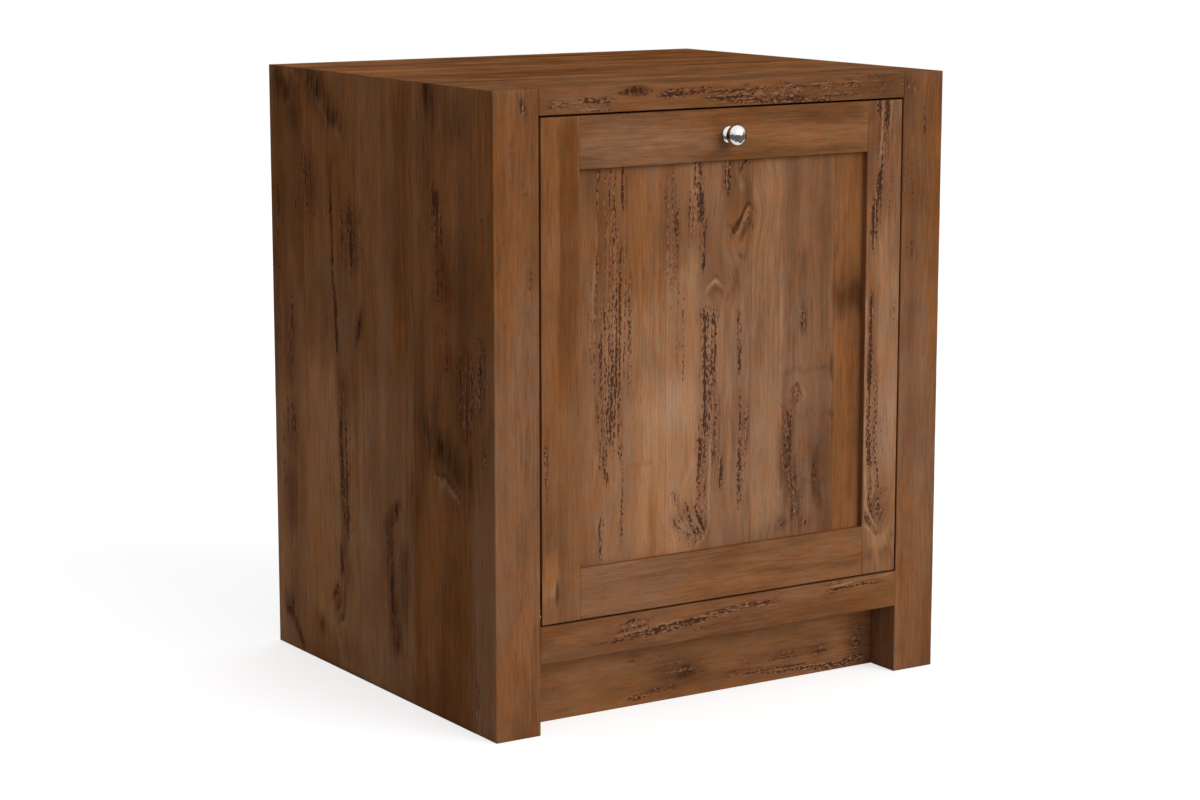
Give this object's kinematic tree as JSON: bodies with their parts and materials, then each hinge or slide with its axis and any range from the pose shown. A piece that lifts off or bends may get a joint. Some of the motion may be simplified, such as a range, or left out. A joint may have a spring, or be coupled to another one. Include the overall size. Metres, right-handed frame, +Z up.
{
  "type": "appliance cabinet",
  "caption": "Low free-standing pine cabinet that houses a built-in appliance: plank sides and top, set-back plinth and a flush framed door that drops open on lower pivots.",
  "frame": {"origin": "on the floor, at the middle of the box around the cabinet and its knob", "axes": "+X to the right seen from the front, +Y to the back, +Z up; the door faces -Y"},
  "size_m": [0.768, 0.697, 0.9],
  "materials": {
    "pine_front": "waxed, with dark torn grain",
    "pine_panel": "waxed, with dark torn grain",
    "pine_side": "waxed, with dark torn grain",
    "pine_top": "waxed",
    "pine_inner": "sawn and lightly waxed",
    "dowel_wood": "plain beech",
    "polished_metal": "polished",
    "plated_steel": "bright plated",
    "screw_steel": "bright plated",
    "brass": "satin",
    "brown_plastic": "moulded",
    "magnet": "dull",
    "pad_rubber": "matt"
  },
  "bodies": {
    "cabinet": {"catch_housing": "brown_plastic", "catch_magnet": "magnet", "catch_screws": "screw_steel", "cleat_screws": "screw_steel", "door_head_strip": "pine_inner", "door_stop_pads": "pad_rubber", "front_lower_rail": "pine_front", "front_top_rail": "pine_front", "hinge_frame_screws": "screw_steel", "left_door_stop": "pine_inner", "left_front_post": "pine_front", "left_hinge_frame_plate": "plated_steel", "left_rear_block": "pine_inner", "left_side_board_1": "pine_side", "left_side_board_2": "pine_side", "left_side_board_3": "pine_side", "left_side_board_4": "pine_side", "left_stay_guide": "plated_steel", "left_top_cleat": "pine_inner", "pivot_pins": "plated_steel", "pivot_washers": "brass", "plinth_board": "pine_front", "plinth_screws": "screw_steel", "rear_rail_dowels": "dowel_wood", "rear_tie_bar": "pine_inner", "rear_top_rail": "pine_inner", "right_door_stop": "pine_inner", "right_front_post": "pine_front", "right_hinge_frame_plate": "plated_steel", "right_rear_block": "pine_inner", "right_side_board_1": "pine_side", "right_side_board_2": "pine_side", "right_side_board_3": "pine_side", "right_side_board_4": "pine_side", "right_stay_guide": "plated_steel", "right_top_cleat": "pine_inner", "stay_guide_screws": "screw_steel", "tie_bar_screws": "screw_steel", "top_board_1": "pine_top", "top_board_2": "pine_top", "top_board_3": "pine_top", "top_board_4": "pine_top"},
    "door": {"door_bottom_rail": "pine_front", "door_panel_board_1": "pine_panel", "door_panel_board_2": "pine_panel", "door_panel_board_3": "pine_panel", "door_panel_board_4": "pine_panel", "door_top_rail": "pine_front", "hinge_door_screws": "screw_steel", "knob": "polished_metal", "knob_screw": "screw_steel", "left_door_stile": "pine_front", "left_hinge_door_plate": "plated_steel", "left_stay_arm": "plated_steel", "right_door_stile": "pine_front", "right_hinge_door_plate": "plated_steel", "right_stay_arm": "plated_steel", "stay_arm_screws": "screw_steel", "strike_plate": "plated_steel", "strike_screws": "screw_steel"}
  },
  "joints": [
    {"name": "door_drop", "type": "hinge", "parent": "cabinet", "child": "door", "pos_m": [0, -0.3095, 0.16917], "axis": [1, 0, 0], "range_deg": [0, 90]}
  ]
}
